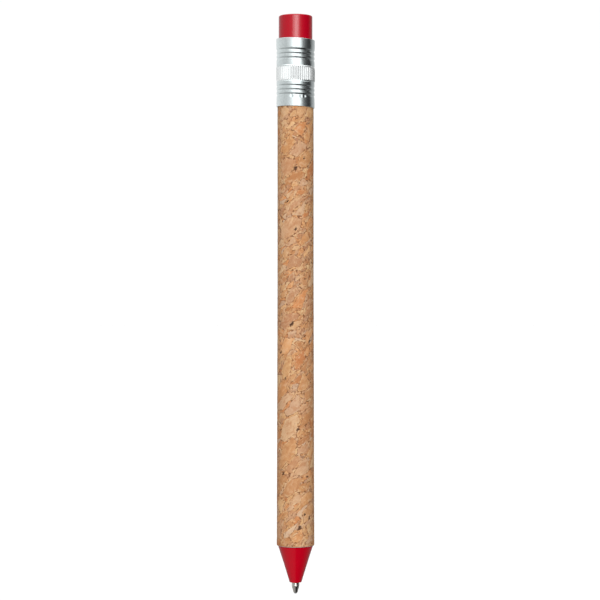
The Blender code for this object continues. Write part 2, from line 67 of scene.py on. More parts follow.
class Tree:
    """Short names for making nodes, the same in a material and in geometry nodes."""

    def __init__(self, tree):
        self.tree = tree

    def node(self, kind, **settings):
        made = self.tree.nodes.new(kind)
        for key, value in settings.items():
            setattr(made, key, value)
        return made

    def link(self, value, socket):
        if isinstance(value, bpy.types.NodeSocket):
            self.tree.links.new(value, socket)
        else:
            socket.default_value = value

    def math(self, operation, a, b=0.0):
        made = self.node("ShaderNodeMath", operation=operation)
        for value, socket in zip((a, b), made.inputs):
            self.link(value, socket)
        return made.outputs[0]

    def vector(self, operation, a, b=(0, 0, 0), scale=None):
        made = self.node("ShaderNodeVectorMath", operation=operation)
        self.link(a, made.inputs[0])
        self.link(b, made.inputs[1])
        if scale is not None:
            self.link(scale, made.inputs["Scale"])
        return made.outputs["Value"] if operation == "LENGTH" else made.outputs[0]

    def combine(self, x, y, z=0.0):
        made = self.node("ShaderNodeCombineXYZ")
        for value, socket in zip((x, y, z), made.inputs):
            self.link(value, socket)
        return made.outputs[0]

    def separate(self, vector):
        made = self.node("ShaderNodeSeparateXYZ")
        self.link(vector, made.inputs[0])
        return made.outputs

    def noise(self, vector, scale, detail=2.0, roughness=0.5, colour=False):
        made = self.node("ShaderNodeTexNoise", noise_dimensions="3D")
        self.link(vector, made.inputs["Vector"])
        made.inputs["Scale"].default_value = scale
        made.inputs["Detail"].default_value = detail
        made.inputs["Roughness"].default_value = roughness
        return made.outputs["Color" if colour else "Fac"]

    def cells(self, vector, scale, feature="F1"):
        made = self.node("ShaderNodeTexVoronoi", voronoi_dimensions="2D", feature=feature)
        self.link(vector, made.inputs["Vector"])
        made.inputs["Scale"].default_value = scale
        return made.outputs

    def step(self, value, low, high, to_low=0.0, to_high=1.0, smooth=True):
        """Maps low..high to to_low..to_high, held at both ends."""
        made = self.node("ShaderNodeMapRange", interpolation_type="SMOOTHSTEP" if smooth else "LINEAR")
        for number, socket in zip((value, low, high, to_low, to_high), made.inputs):
            self.link(number, socket)
        return made.outputs[0]

    def mix(self, factor, a, b):
        made = self.node("ShaderNodeMix", data_type="FLOAT")
        self.link(factor, made.inputs[0])
        self.link(a, made.inputs[2])
        self.link(b, made.inputs[3])
        return made.outputs[0]

    def mix_colour(self, factor, a, b, blend="MIX"):
        made = self.node("ShaderNodeMix", data_type="RGBA", blend_type=blend)
        self.link(factor, made.inputs[0])
        self.link(a, made.inputs[6])
        self.link(b, made.inputs[7])
        return made.outputs[2]

    def ramp(self, value, stops):
        made = self.node("ShaderNodeValToRGB")
        self.link(value, made.inputs[0])
        elements = made.color_ramp.elements
        while len(elements) < len(stops):
            elements.new(0.5)
        for element, (position, colour) in zip(elements, stops):
            element.position = position
            element.color = colour
        return made.outputs[0]


def linear(red, green, blue, gain=1.0):
    """An sRGB colour of 0 to 255 as linear RGBA."""
    channels = []
    for value in (red, green, blue):
        c = value / 255
        channels.append(gain * (c / 12.92 if c <= 0.04045 else ((c + 0.055) / 1.055) ** 2.4))
    return (*channels, 1.0)


class Material(Tree):
    """A material with one Principled shader, and the object's own coordinates in millimetres."""

    def __init__(self, name, **sockets):
        self.material = bpy.data.materials.new(name)
        self.material.use_nodes = True
        super().__init__(self.material.node_tree)
        self.shader = self.tree.nodes["Principled BSDF"]
        self.set(**sockets)
        self._place = None

    def set(self, **sockets):
        for key, value in sockets.items():
            self.link(value, self.shader.inputs[key.replace("_", " ")])

    @property
    def place(self):
        if self._place is None:
            coordinates = self.node("ShaderNodeTexCoord").outputs["Object"]
            self._place = self.vector("SCALE", coordinates, scale=1 / MM)
        return self._place

    def bump(self, height, distance):
        """Bumps the shader's normal. A height of 1 stands for distance, in millimetres."""
        made = self.node("ShaderNodeBump")
        made.inputs["Strength"].default_value = 1.0
        made.inputs["Distance"].default_value = distance * MM
        self.link(height, made.inputs["Height"])
        self.link(made.outputs[0], self.shader.inputs["Normal"])


# ------------------------------------------------------------------ mesh helpers


def mesh_object(name, points, faces, material, sharp=None):
    """An object of the points and faces. Edges steeper than sharp degrees stay sharp."""
    mesh = bpy.data.meshes.new(name)
    mesh.from_pydata(points, [], faces)
    bm = bmesh.new()
    bm.from_mesh(mesh)
    bmesh.ops.recalc_face_normals(bm, faces=bm.faces)
    bm.to_mesh(mesh)
    bm.free()
    mesh.shade_smooth()
    if sharp is not None:
        mesh.set_sharp_from_angle(angle=math.radians(sharp))
    mesh.materials.append(material)
    made = bpy.data.objects.new(name, mesh)
    bpy.context.scene.collection.objects.link(made)
    return made


def turned(name, outline, material, steps=128, sharp=40, shift=None):
    """A turned piece. outline is its closed side as (radius, z) in millimetres; it may start and end on
    the axis. shift(turn, radius, z) gives how far each point moves outward, as an array."""
    outline = np.array(outline, float)
    on_axis = outline[0, 0] == 0 and outline[-1, 0] == 0
    poles = (outline[0, 1], outline[-1, 1]) if on_axis else ()
    rows = outline[1:-1] if on_axis else outline
    turn = np.arange(steps) * math.tau / steps
    radius = np.repeat(rows[:, :1], steps, axis=1)
    height = np.repeat(rows[:, 1:], steps, axis=1)
    if shift is not None:
        radius = radius + shift(turn[None, :] + 0 * radius, radius, height)
    points = np.stack([radius * np.sin(turn), -radius * np.cos(turn), height], axis=2)
    points = (points.reshape(-1, 3) * MM).tolist()
    count = len(rows)
    last = count - 1 if on_axis else count
    faces = []
    for i in range(last):
        a = i * steps
        b = ((i + 1) % count) * steps
        for j in range(steps):
            k = (j + 1) % steps
            faces.append((a + j, a + k, b + k, b + j))
    for pole, row in zip(poles, (0, count - 1)):
        centre = len(points)
        points.append((0.0, 0.0, pole * MM))
        for j in range(steps):
            faces.append((centre, row * steps + j, row * steps + (j + 1) % steps))
    return mesh_object(name, points, faces, material, sharp)


def fillet(corner_radius, corner_z, size, start, end, steps=6):
    """Points of a rounded corner: an arc about a centre given as (radius, z), angles in degrees."""
    angles = np.radians(np.linspace(start, end, steps + 1))
    return [(corner_radius + size * math.cos(a), corner_z + size * math.sin(a)) for a in angles]


def line(start, end, count):
    """count points from start up to, but not including, end."""
    return [tuple(p) for p in np.linspace(start, end, count, endpoint=False)]


def finish_with(piece, body, slot, *nodes):
    """Hangs a finished piece on its body and puts it in place of its CAD nodes. slot is not used."""
    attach(piece, body)
    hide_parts(*nodes)
    return piece


# ------------------------------------------------------------------ materials


# Lengths in millimetres, leans in degrees.
CORK_RADIUS = 4.98
LARGE = 3.0
MEDIUM = 1.8
SMALL = 1.05
LARGE_LEAN = 50
MEDIUM_LEAN = 42
SMALL_LEAN = 46
# Added to the margin of a missing granule, so that no place lies inside one.
ALWAYS_OUTSIDE = 9.0
PATTERN_SHIFT = 63.0
WARP = 1.4
RAGGEDNESS = 0.45
PIT_SPACING = 2.6
PIT_LEAN = 50
PIT_REACH = 0.44
PIT_DEPTH = 0.22
GAP_DEPTH = 0.06
SEAM_DEPTH = 0.09
SEAM_HALF_WIDTH = 0.11
SEAM_BOTTOM_HALF_WIDTH = 0.03
GRANULE_LIFT = 0.03
GRAIN_HEIGHT = 0.03


def leaning(t, flat, degrees, stretch):
    """The place on a plane whose pattern comes out stretched along a line leaning by that many degrees."""
    u, v, _ = t.separate(flat)
    cos_a = math.cos(math.radians(degrees))
    sin_a = math.sin(math.radians(degrees))
    along = t.math("ADD", t.math("MULTIPLY", u, cos_a), t.math("MULTIPLY", v, sin_a))
    across = t.math("SUBTRACT", t.math("MULTIPLY", v, cos_a), t.math("MULTIPLY", u, sin_a))
    return t.combine(t.math("MULTIPLY", along, 1 / stretch), across)


def granules(t, flat, size, degrees, stretch, share, widest, narrowest):
    """One size of granule: its random colour, and how far a place is inside one (negative outside).
    share is the part of the cells that hold a granule of this size. The margin left round a granule
    lies between widest and narrowest."""
    place = leaning(t, flat, degrees, stretch)
    cell = t.cells(place, 1 / size)
    colour = t.separate(cell["Color"])
    edge = t.math("MULTIPLY", t.cells(place, 1 / size, "DISTANCE_TO_EDGE")["Distance"], size)
    rim = t.step(colour[0], 1 - share, 1.0, widest, narrowest, smooth=False)
    missing = t.math("LESS_THAN", colour[0], 1 - share)
    inside = t.math("SUBTRACT", edge, t.math("ADD", rim, t.math("MULTIPLY", missing, ALWAYS_OUTSIDE)))
    return colour, inside


def cork_field(t, place):
    """The granules of the cork, from a place in millimetres: tone and tint of each granule, the gaps
    between them, the pits, and the height of the surface. t is a material's or geometry nodes' tree."""
    x, y, z = t.separate(place)
    around = t.math("MULTIPLY", t.math("ARCTAN2", x, t.math("MULTIPLY", y, -1.0)), CORK_RADIUS)
    flat = t.combine(around, t.math("ADD", z, PATTERN_SHIFT))
    warp = t.vector("SUBTRACT", t.noise(flat, 0.45, 1.0, colour=True), (0.5, 0.5, 0.5))
    ragged = t.vector("SUBTRACT", t.noise(flat, 2.8, 3.0, 0.65, colour=True), (0.5, 0.5, 0.5))
    bent = t.vector("ADD", flat, t.vector("SCALE", warp, scale=WARP))
    bent = t.vector("ADD", bent, t.vector("SCALE", ragged, scale=RAGGEDNESS))

    large, in_large = granules(
        t, bent, LARGE, LARGE_LEAN, stretch=2.0, share=0.6, widest=0.5, narrowest=0.03
    )
    medium, in_medium = granules(
        t, bent, MEDIUM, MEDIUM_LEAN, stretch=2.0, share=0.7, widest=0.3, narrowest=0.02
    )
    small, in_small = granules(
        t, bent, SMALL, SMALL_LEAN, stretch=1.9, share=1.0, widest=0.0, narrowest=0.0
    )
    is_large = t.math("GREATER_THAN", in_large, 0.0)
    is_medium = t.math("GREATER_THAN", in_medium, 0.0)

    def pick(a, b, c):
        return t.mix(is_large, t.mix(is_medium, c, b), a)

    tone = pick(large[1], medium[1], small[1])
    tint = pick(large[2], medium[2], small[2])
    lift = pick(medium[1], small[0], small[2])
    around_large = t.math("ABSOLUTE", in_large)
    around_medium = t.math("MINIMUM", around_large, t.math("ABSOLUTE", in_medium))
    edge = pick(around_large, around_medium, t.math("MINIMUM", around_medium, in_small))
    width = t.step(t.noise(flat, 1.1, 2.0), 0.35, 0.7, 0.03, 0.2)
    gap = t.math("SUBTRACT", 1.0, t.step(edge, 0.0, width))
    gap = t.math("MULTIPLY", gap, t.step(t.noise(flat, 1.5, 1.0), 0.42, 0.58))
    rim = t.step(edge, width, t.math("ADD", width, 0.04))
    rim_start = t.math("ADD", width, 0.08)
    rim_end = t.math("ADD", width, 0.24)
    rim = t.math("MULTIPLY", rim, t.step(edge, rim_start, rim_end, 1, 0))
    rim = t.math("MULTIPLY", rim, t.step(t.noise(flat, 0.9, 1.0), 0.5, 0.62))

    pit_place = t.vector("ADD", leaning(t, bent, PIT_LEAN, 1.6), (7.3, 2.9, 0.0))
    pit = t.cells(pit_place, 1 / PIT_SPACING)
    chance = t.separate(pit["Color"])
    reach = t.step(chance[0], 0.80, 1.0, 0.0, PIT_REACH, smooth=False)
    uneven = t.math("MULTIPLY", t.math("SUBTRACT", t.noise(flat, 3.4, 2.0), 0.5), 0.9)
    far = t.math("ADD", t.math("MULTIPLY", pit["Distance"], PIT_SPACING), uneven)
    pits = t.math("SUBTRACT", 1.0, t.step(t.math("SUBTRACT", far, reach), -0.14, 0.02))

    half = math.pi * CORK_RADIUS
    seam = t.step(t.math("ABSOLUTE", around), half - SEAM_HALF_WIDTH, half - SEAM_BOTTOM_HALF_WIDTH)
    grain = t.noise(flat, 5.0, 3.0, 0.65)
    height = t.math("MULTIPLY", t.math("SUBTRACT", lift, 0.5), GRANULE_LIFT)
    height = t.math("SUBTRACT", height, t.math("MULTIPLY", gap, GAP_DEPTH))
    height = t.math("SUBTRACT", height, t.math("MULTIPLY", pits, PIT_DEPTH))
    height = t.math("SUBTRACT", height, t.math("MULTIPLY", seam, SEAM_DEPTH))
    height = t.math("ADD", height, t.math("MULTIPLY", t.math("SUBTRACT", grain, 0.5), GRAIN_HEIGHT))
    return {
        "tone": tone, "tint": tint, "gap": gap, "rim": rim, "pits": pits, "seam": seam, "grain": grain,
        "height": height, "flat": flat, "bent": bent, "z": z,
    }


# The cork's colours are written as they look under the studio's lights; this scales them down to its own.
CORK_GAIN = 0.553
# Height of the painted highlight along the cork's lower end.
LOWER_EDGE_HIGHLIGHT = 0.18


def cork_material(bottom_z):
    """Agglomerated cork. bottom_z is its cut lower end, along which a painted highlight stands for light
    from below.
    """
    m = Material("cork_agglomerate", Roughness=0.82, Specular_IOR_Level=0.25)
    f = cork_field(m, m.place)
    g = CORK_GAIN
    base = m.ramp(f["tone"], [
        (0.0, linear(184, 126, 82, g)),
        (0.12, linear(192, 137, 93, g)),
        (0.30, linear(200, 146, 99, g)),
        (0.50, linear(206, 154, 108, g)),
        (0.68, linear(209, 162, 117, g)),
        (0.82, linear(213, 170, 128, g)),
        (0.93, linear(218, 180, 139, g)),
        (1.0, linear(223, 188, 147, g)),
    ])
    tinted = m.ramp(f["tint"], [
        (0.0, (1.10, 0.84, 0.63, 1)),
        (0.25, (1.03, 0.99, 0.85, 1)),
        (0.55, (1.0, 0.972, 0.925, 1)),
        (0.80, (0.95, 0.96, 1.09, 1)),
        (1.0, (0.82, 0.84, 0.99, 1)),
    ])
    colour = m.mix_colour(1.0, base, tinted, "MULTIPLY")
    inner_turn = m.math("MULTIPLY", f["tint"], 40.0)
    along, across, _ = m.separate(leaning(m, f["bent"], LARGE_LEAN, 3.2))
    streak = m.noise(m.combine(along, across, inner_turn), 1.9, 3.0, 0.6)
    colour = m.mix_colour(m.step(streak, 0.48, 0.72, 0.0, 0.5), colour, linear(178, 118, 74, g))
    colour = m.mix_colour(m.step(streak, 0.5, 0.28, 0.0, 0.45), colour, linear(228, 184, 138, g))
    mottled = m.noise(m.combine(m.separate(f["bent"])[0], f["z"], inner_turn), 0.75, 2.0, 0.55)
    colour = m.mix_colour(m.step(mottled, 0.5, 0.70, 0.0, 0.5), colour, linear(184, 122, 76, g))
    colour = m.mix_colour(m.step(mottled, 0.5, 0.3, 0.0, 0.45), colour, linear(224, 184, 146, g))
    speck = m.step(m.noise(f["flat"], 6.0, 2.0, 0.7), 0.58, 0.72, 0.0, 0.55)
    colour = m.mix_colour(speck, colour, linear(158, 104, 70, g))
    light_grain = m.step(f["grain"], 0.52, 0.74, 0.0, 0.4)
    colour = m.mix_colour(light_grain, colour, linear(234, 192, 150, g))
    colour = m.mix_colour(m.math("MULTIPLY", f["rim"], 0.5), colour, linear(232, 196, 148, g))
    colour = m.mix_colour(m.math("MULTIPLY", f["gap"], 0.88), colour, linear(116, 68, 38, g))
    colour = m.mix_colour(m.math("MULTIPLY", f["pits"], 0.9), colour, linear(74, 44, 30, g))
    colour = m.mix_colour(m.math("MULTIPLY", f["seam"], 0.6), colour, linear(120, 80, 54, g))
    # Painted highlight: the lower end is painted paler, standing for light from below catching its edge.
    cut = m.step(f["z"], bottom_z + LOWER_EDGE_HIGHLIGHT / 3, bottom_z + LOWER_EDGE_HIGHLIGHT, 0.7, 0.0)
    colour = m.mix_colour(cut, colour, linear(226, 200, 190))
    m.set(Base_Color=colour)
    grain = m.math("MULTIPLY", m.noise(m.place, 11.0, 2.0), 0.02)
    m.bump(m.math("ADD", f["height"], grain), 0.6)
    return m.material


def red_plastic(name, depth, ripple_scale):
    """Moulded red plastic; depth is how much light its colour gives back. The nose gets a higher depth than
    the button, as painted light bounced up from below.
    """
    m = Material(name, IOR=1.40)
    swirl = m.noise(m.place, 0.35, 2.0)
    m.set(Base_Color=m.mix_colour(swirl, (depth, 0.0, 0.006, 1), (depth * 1.08, 0.0005, 0.009, 1)))
    smear = m.noise(m.place, ripple_scale, 3.0, 0.6)
    m.set(Roughness=m.step(smear, 0.3, 0.7, 0.12, 0.22))
    fine = m.math("MULTIPLY", m.noise(m.place, 9.0, 2.0), 0.06)
    m.bump(m.math("ADD", m.noise(m.place, 0.8, 1.0), fine), 0.018)
    return m.material


def ferrule_metal():
    """Thin rolled aluminium, paler and less metallic on the crimp band."""
    m = Material("ferrule_aluminium")
    x, y, z = m.separate(m.place)
    stretched = m.combine(x, y, m.math("MULTIPLY", z, 9.0))
    rolled = m.noise(stretched, 1.2, 3.0, 0.6)
    spots = m.noise(m.place, 1.6, 3.0, 0.6)
    metal = m.mix_colour(m.step(spots, 0.4, 0.7), (0.80, 0.875, 0.88, 1), (0.72, 0.79, 0.80, 1))
    polished = m.step(rolled, 0.35, 0.7, 0.16, 0.26)
    turn = m.math("ARCTAN2", x, m.math("MULTIPLY", y, -1.0))
    teeth = m.math("MULTIPLY", m.math("COSINE", m.math("MULTIPLY", turn, FLUTES)), 0.14)
    above = m.step(m.math("ADD", z, teeth), BAND_LOW - 0.02, BAND_LOW + 0.12)
    below = m.step(m.math("SUBTRACT", z, teeth), BAND_HIGH - 0.12, BAND_HIGH + 0.02, 1, 0)
    crimped = m.math("MULTIPLY", above, below)
    m.set(Roughness=m.mix(crimped, polished, 0.22))
    m.set(Base_Color=m.mix_colour(crimped, metal, (0.88, 0.91, 0.91, 1)))
    m.set(Metallic=m.mix(crimped, 1.0, 0.7))
    dents = m.noise(m.place, 0.55, 2.0)
    m.bump(m.math("ADD", dents, m.math("MULTIPLY", rolled, 0.05)), 0.05)
    return m.material


def turned_metal(name, colour, shine, grooves):
    """Metal from a lathe: fine rings round the axis."""
    m = Material(name, Metallic=1.0)
    flattened = m.vector("MULTIPLY", m.place, (0.2, 0.2, grooves))
    rings = m.noise(flattened, 1.0, 2.0)
    m.set(Base_Color=m.mix_colour(rings, colour, [c * 0.9 for c in colour[:3]] + [1]))
    m.set(Roughness=m.step(rings, 0.3, 0.7, shine, shine + 0.1))
    m.bump(rings, 0.006)
    return m.material


def moulded_plastic(name, colour, roughness, spread, **sockets):
    """Plain moulded plastic, with a faint mottle and the mould's fine texture."""
    m = Material(name, **sockets)
    darker = [c * spread for c in colour[:3]] + [1]
    m.set(Base_Color=m.mix_colour(m.noise(m.place, 0.9, 3.0), colour, darker))
    m.set(Roughness=m.step(m.noise(m.place, 3.0, 2.0), 0.3, 0.7, roughness, roughness + 0.12))
    m.bump(m.noise(m.place, 12.0, 2.0), 0.008)
    return m.material


STRIP_PITCH = 14.0


def kraft_paper():
    """Rolled paper tube: fibres, and the slanting joints of its wound strips."""
    m = Material("kraft_paper", Roughness=0.9, Specular_IOR_Level=0.2)
    x, y, z = m.separate(m.place)
    turn = m.math("DIVIDE", m.math("ARCTAN2", x, m.math("MULTIPLY", y, -1.0)), math.tau)
    wound = m.math("FRACT", m.math("ADD", m.math("DIVIDE", z, STRIP_PITCH), turn))
    joint = m.step(m.math("ABSOLUTE", m.math("SUBTRACT", wound, 0.5)), 0.0, 0.012, 1.0, 0.0)
    fibres = m.noise(m.vector("MULTIPLY", m.place, (3.0, 3.0, 0.7)), 1.5, 4.0, 0.65)
    colour = m.mix_colour(fibres, linear(146, 108, 72), linear(186, 148, 106))
    m.set(Base_Color=m.mix_colour(m.math("MULTIPLY", joint, 0.6), colour, linear(96, 66, 42)))
    m.bump(m.math("SUBTRACT", fibres, joint), 0.03)
    return m.material


def clear_tube():
    """Clear plastic of the refill, faintly uneven."""
    m = Material("clear_tube", IOR=1.5, Transmission_Weight=0.85)
    m.set(Base_Color=m.mix_colour(m.noise(m.place, 0.8, 2.0), (0.86, 0.89, 0.88, 1), (0.93, 0.94, 0.93, 1)))
    m.set(Roughness=m.step(m.noise(m.place, 2.0, 2.0), 0.3, 0.7, 0.12, 0.22))
    m.bump(m.noise(m.place, 4.0, 2.0), 0.01)
    return m.material


# ------------------------------------------------------------------ pieces


RELIEF_FADE = 0.4
RELIEF_STARTS_UNDER = 0.25
RELIEF_FULL_UNDER = 0.15


def displace_by_field(piece, moving_low, moving_high):
    """Moves a piece's outer points outward by the cork field's height, in geometry nodes, and applies it.
    The relief fades out at both heights."""
    tree = bpy.data.node_groups.new("cork_relief", "GeometryNodeTree")
    tree.interface.new_socket("Geometry", in_out="INPUT", socket_type="NodeSocketGeometry")
    tree.interface.new_socket("Geometry", in_out="OUTPUT", socket_type="NodeSocketGeometry")
    t = Tree(tree)
    start = t.node("NodeGroupInput")
    end = t.node("NodeGroupOutput")
    position = t.node("GeometryNodeInputPosition").outputs[0]
    place = t.vector("SCALE", position, scale=1 / MM)
    field = cork_field(t, place)
    x, y, z = t.separate(place)
    out = t.vector("NORMALIZE", t.combine(x, y))
    radius = t.vector("LENGTH", t.combine(x, y))
    outer = t.step(radius, CORK_RADIUS - RELIEF_STARTS_UNDER, CORK_RADIUS - RELIEF_FULL_UNDER)
    fade_in = t.step(z, moving_low, moving_low + RELIEF_FADE)
    fade_out = t.step(z, moving_high - RELIEF_FADE, moving_high, 1.0, 0.0)
    ends = t.math("MULTIPLY", fade_in, fade_out)
    amount = t.math("MULTIPLY", t.math("MULTIPLY", field["height"], outer), ends)
    move = t.node("GeometryNodeSetPosition")
    t.link(start.outputs[0], move.inputs["Geometry"])
    t.link(t.vector("SCALE", out, scale=t.math("MULTIPLY", amount, MM)), move.inputs["Offset"])
    t.link(move.outputs[0], end.inputs[0])
    modifier = piece.modifiers.new("relief", "NODES")
    modifier.node_group = tree
    shaped = bpy.data.meshes.new_from_object(piece.evaluated_get(bpy.context.evaluated_depsgraph_get()))
    piece.modifiers.clear()
    piece.data = shaped


CORK_BORE = 4.40
CORK_FLARE = 0.21
CORK_FLARE_HEIGHT = 75.0
CORK_EDGE = 0.14
CORK_TUCKED_RADIUS = 4.7
CORK_ROWS = 590
CORK_STEPS = 162


def cork_sleeve():
    """The cork wrap: it widens a little downward, and its thinner upper end is tucked into the ferrule."""
    (_, _, low), (_, _, high) = node_box("cork_sleeve")
    (_, _, neck), _ = node_box("ferrule")

    def flare(z):
        up = min(1.0, (z - low) / CORK_FLARE_HEIGHT)
        return CORK_FLARE * (1 - up)

    heights = np.linspace(low + CORK_EDGE, neck + 0.25, CORK_ROWS)
    outline = [(CORK_BORE, low), (CORK_RADIUS + CORK_FLARE - CORK_EDGE, low)]
    outline += [(CORK_RADIUS + flare(z), z) for z in heights]
    outline += [(CORK_TUCKED_RADIUS, neck + 0.4), (CORK_TUCKED_RADIUS, high), (CORK_BORE, high)]
    piece = turned("cork_wrap", outline, cork_material(low), CORK_STEPS, sharp=None)
    displace_by_field(piece, low + 0.05, neck + 0.45)
    return finish_with(piece, "barrel", "cork_sleeve", "cork_sleeve")


FERRULE_LEAN = 0.04
FERRULE_WALL_RADIUS = 4.9
FERRULE_MOUTH_RADIUS = 5.0
FERRULE_MOUTH_DEPTH = 8.5
FERRULE_LOWER_BORE = 5.05
FERRULE_LOWER_BORE_DEPTH = 0.55
FERRULE_LIP = 0.09
# Everything of the ferrule that lies further out than this takes the flutes and the punch marks.
FERRULE_OUTSIDE = 5.06
FLUTES = 52
FLUTE_DEPTH = 0.19
STEPS_PER_FLUTE = 8
BAND_LOW = 141.35
BAND_HIGH = 145.3
GROOVES = (149.69, 148.52, 147.35, 139.79, 138.62, 137.45)
GROOVE_DEPTH = 0.13
GROOVE_WIDTH = 0.28
# Each mark's turn in degrees from the front, its height, and its depth as a share of MARK_DEPTH.
PUNCH_MARKS = ((-11.5, 136.95, 0.8), (16.0, 136.9, 0.3), (28.5, 137.0, 1.0))
MARK_DEPTH = 0.15
MARK_RADIUS = 0.34
MARK_RIM_HEIGHT = 0.02
MARK_RIM_RADIUS = 0.6
MARK_RIM_WIDTH = 0.15
MARK_PLACE_RADIUS = 5.1


def ferrule():
    """The metal collar: grooves above and below a fluted crimp band, and a few punch marks."""
    (_, _, low), (_, _, high) = node_box("ferrule")
    # The outer radius by height, before the grooves are cut.
    skin = np.array([
        (low, 5.28), (135.4, 5.28), (136.3, 5.26), (136.9, 5.235), (137.6, 5.265), (140.2, 5.27),
        (140.8, 5.26), (141.5, 5.255), (145.3, 5.255), (146.3, 5.27), (146.9, 5.265), (150.0, 5.265),
        (150.6, 5.32), (151.3, 5.35), (high, 5.35),
    ])

    def radius_at(z):
        cut = sum(GROOVE_DEPTH * math.exp(-(((z - at) / GROOVE_WIDTH) ** 2)) for at in GROOVES)
        return float(np.interp(z, skin[:, 0], skin[:, 1])) - cut

    middle = (BAND_LOW + BAND_HIGH) / 2
    half = (BAND_HIGH - BAND_LOW) / 2

    def shift(turn, radius, z):
        """The flutes of the crimp band, and the punch marks below it."""
        outer = radius > FERRULE_OUTSIDE
        up = np.abs(z - middle) / half
        flutes = 0.5 * FLUTE_DEPTH * np.cos(turn * FLUTES) * np.clip((1 - up) * 5, 0, 1)
        marks = 0
        for degrees, at, depth in PUNCH_MARKS:
            off_centre = np.degrees(turn + math.pi) % 360 - 180 - degrees
            across = off_centre * math.radians(1) * MARK_PLACE_RADIUS
            far = np.hypot(across, z - at)
            dent = -MARK_DEPTH * np.exp(-((far / MARK_RADIUS) ** 2))
            rim = MARK_RIM_HEIGHT * np.exp(-(((far - MARK_RIM_RADIUS) / MARK_RIM_WIDTH) ** 2))
            marks = marks + depth * (dent + rim)
        return np.where(outer, flutes + marks, 0)

    wall = FERRULE_WALL_RADIUS
    bore = FERRULE_LOWER_BORE
    mouth = FERRULE_MOUTH_RADIUS
    lip = FERRULE_LIP
    # Rows lie closer together where the grooves are.
    heights = np.concatenate([
        np.arange(low + lip, 136.2, 0.2), np.arange(136.2, 141.1, 0.07), np.arange(141.1, 145.4, 0.1),
        np.arange(145.4, 146.6, 0.15), np.arange(146.6, 150.6, 0.07), np.arange(150.6, high - lip, 0.15),
    ])
    bore_top = low + FERRULE_LOWER_BORE_DEPTH
    mouth_bottom = high - FERRULE_MOUTH_DEPTH
    outline = [(wall, bore_top + 0.2), (bore, bore_top), (bore, low), (radius_at(low) - lip, low)]
    outline += fillet(radius_at(low) - lip, low + lip, lip, -65, -10, 3)
    outline += [(radius_at(z), z) for z in heights]
    outline += fillet(radius_at(high) - lip, high - lip, lip, 5, 90, 5)
    outline += fillet(mouth + lip, high - lip, lip, 100, 180, 4)
    outline += [(mouth, mouth_bottom), (wall, mouth_bottom - 0.3)]
    steps = FLUTES * STEPS_PER_FLUTE
    piece = turned("ferrule_shell", outline, ferrule_metal(), steps, sharp=None, shift=shift)
    for vertex in piece.data.vertices:
        vertex.co.z -= FERRULE_LEAN * vertex.co.x
    return finish_with(piece, "barrel", "ferrule", "ferrule")


BUTTON_RADIUS = 4.66
BUTTON_EDGE = 0.38
BUTTON_END_LOWERED = 0.08
BUTTON_BORE = 3.75
BUTTON_ROOF_Z = 157.9
BUTTON_BOSS_RADIUS = 2.7
BUTTON_BOSS_Z = 149.0
BUTTON_SOCKET_RADIUS = 1.95
BUTTON_SOCKET_ROOF_Z = 157.0


def push_button():
    """The red button: a cap with a rounded end, and inside it a boss with a socket for the plunger."""
    (_, _, low), (_, _, high) = node_box("push_button")
    high -= BUTTON_END_LOWERED
    radius = BUTTON_RADIUS
    edge = BUTTON_EDGE
    outline = [(0, high)] + line((0.4, high), (radius - edge, high), 8)
    outline += fillet(radius - edge, high - edge, edge, 90, 0, 8)
    outline += line((radius, high - edge - 0.3), (radius, low + 0.2), 24)
    outline += [
        (radius - 0.1, low),
        (BUTTON_BORE + 0.05, low),
        (BUTTON_BORE, low + 0.05),
        (BUTTON_BORE, BUTTON_ROOF_Z),
        (BUTTON_BOSS_RADIUS, BUTTON_ROOF_Z),
        (BUTTON_BOSS_RADIUS, BUTTON_BOSS_Z),
        (BUTTON_SOCKET_RADIUS, BUTTON_BOSS_Z),
        (BUTTON_SOCKET_RADIUS, BUTTON_SOCKET_ROOF_Z),
        (0, BUTTON_SOCKET_ROOF_Z),
    ]
    piece = turned("button_cap", outline, red_plastic("button_red", 0.255, 1.5), 160, sharp=40)
    return finish_with(piece, "button", "push_button", "push_button")


NOSE_LIP_RADIUS = 1.69
NOSE_SHOULDER_RADIUS = 4.85
NOSE_WAIST = 0.03
NOSE_CHAMFER = 0.13
NOSE_BORE = 2.3
NOSE_BORE_Z = 6.6
NOSE_THROAT = 1.35
NOSE_THROAT_Z = 3.7
NOSE_HOLE = 1.21
NOSE_HOLE_Z = 3.5
NOSE_HOLE_EDGE = 0.08
NOSE_ROWS = 60
SPIGOT_TOP_Z = 21.0
THREAD_ROOT_RADIUS = 2.75
THREAD_START_Z = 15.0
THREAD_PITCH = 1.4
THREAD_TURNS = 3
THREAD_LENGTH = 4.2
THREAD_HEIGHT = 0.28
# The part of a turn that makes this thread meet the one in the front bush.
THREAD_PHASE = 0.25
THREAD_ROWS = 60


